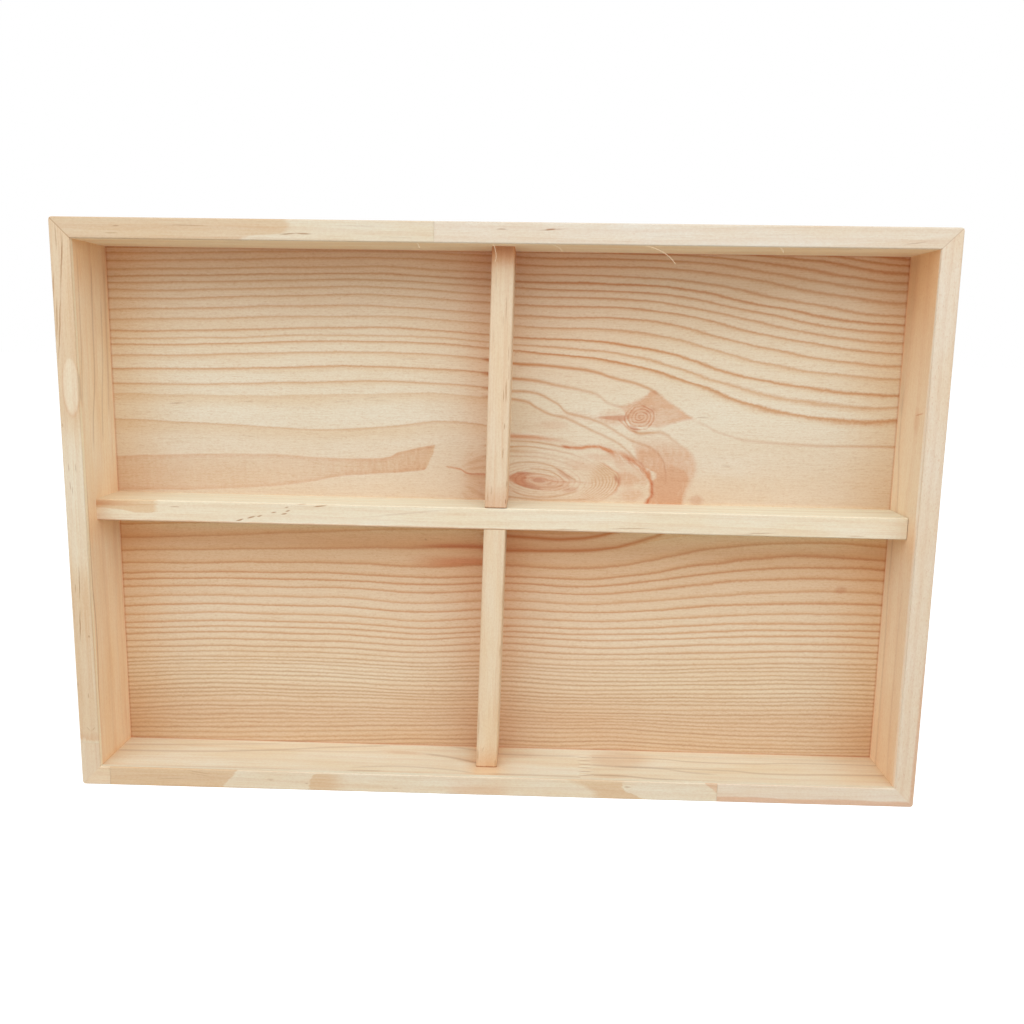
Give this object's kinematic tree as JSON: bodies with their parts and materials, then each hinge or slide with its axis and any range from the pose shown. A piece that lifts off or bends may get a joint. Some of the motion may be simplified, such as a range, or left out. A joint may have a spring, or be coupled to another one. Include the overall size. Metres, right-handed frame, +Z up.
{
  "type": "compartment display case",
  "caption": "Open pine display case that stands on its long side, with a shelf and dividers that part it into equal compartments for small collected things such as seashells.",
  "frame": {"origin": "middle of the base, on the surface it stands on", "axes": "+X to the right along the long side, +Y from the open front to the back, +Z up"},
  "size_m": [0.39, 0.04, 0.26],
  "materials": {
    "frame_pine": "bare sanded pine, finger-jointed",
    "shelf_pine": "bare sanded pine",
    "divider_pine": "bare sanded pine",
    "panel_pine": "bare sanded pine with strong horizontal growth rings",
    "brad_steel": "bright wire"
  },
  "bodies": {
    "root": {"bottom_rail_rear_left": "frame_pine", "bottom_rail_rear_right": "frame_pine", "bottom_rail_front_left": "frame_pine", "bottom_rail_front_middle": "frame_pine", "bottom_rail_front_right": "frame_pine", "top_rail_rear": "frame_pine", "top_rail_front_left": "frame_pine", "top_rail_front_right": "frame_pine", "left_stile_rear": "frame_pine", "left_stile_front_lower": "frame_pine", "left_stile_front_upper": "frame_pine", "right_stile": "frame_pine", "shelf": "shelf_pine", "upper_divider": "divider_pine", "lower_divider": "divider_pine", "back_panel": "panel_pine", "corner_brads": "brad_steel", "shelf_brads": "brad_steel", "divider_brads": "brad_steel", "back_panel_brads": "brad_steel"}
  },
  "joints": []
}
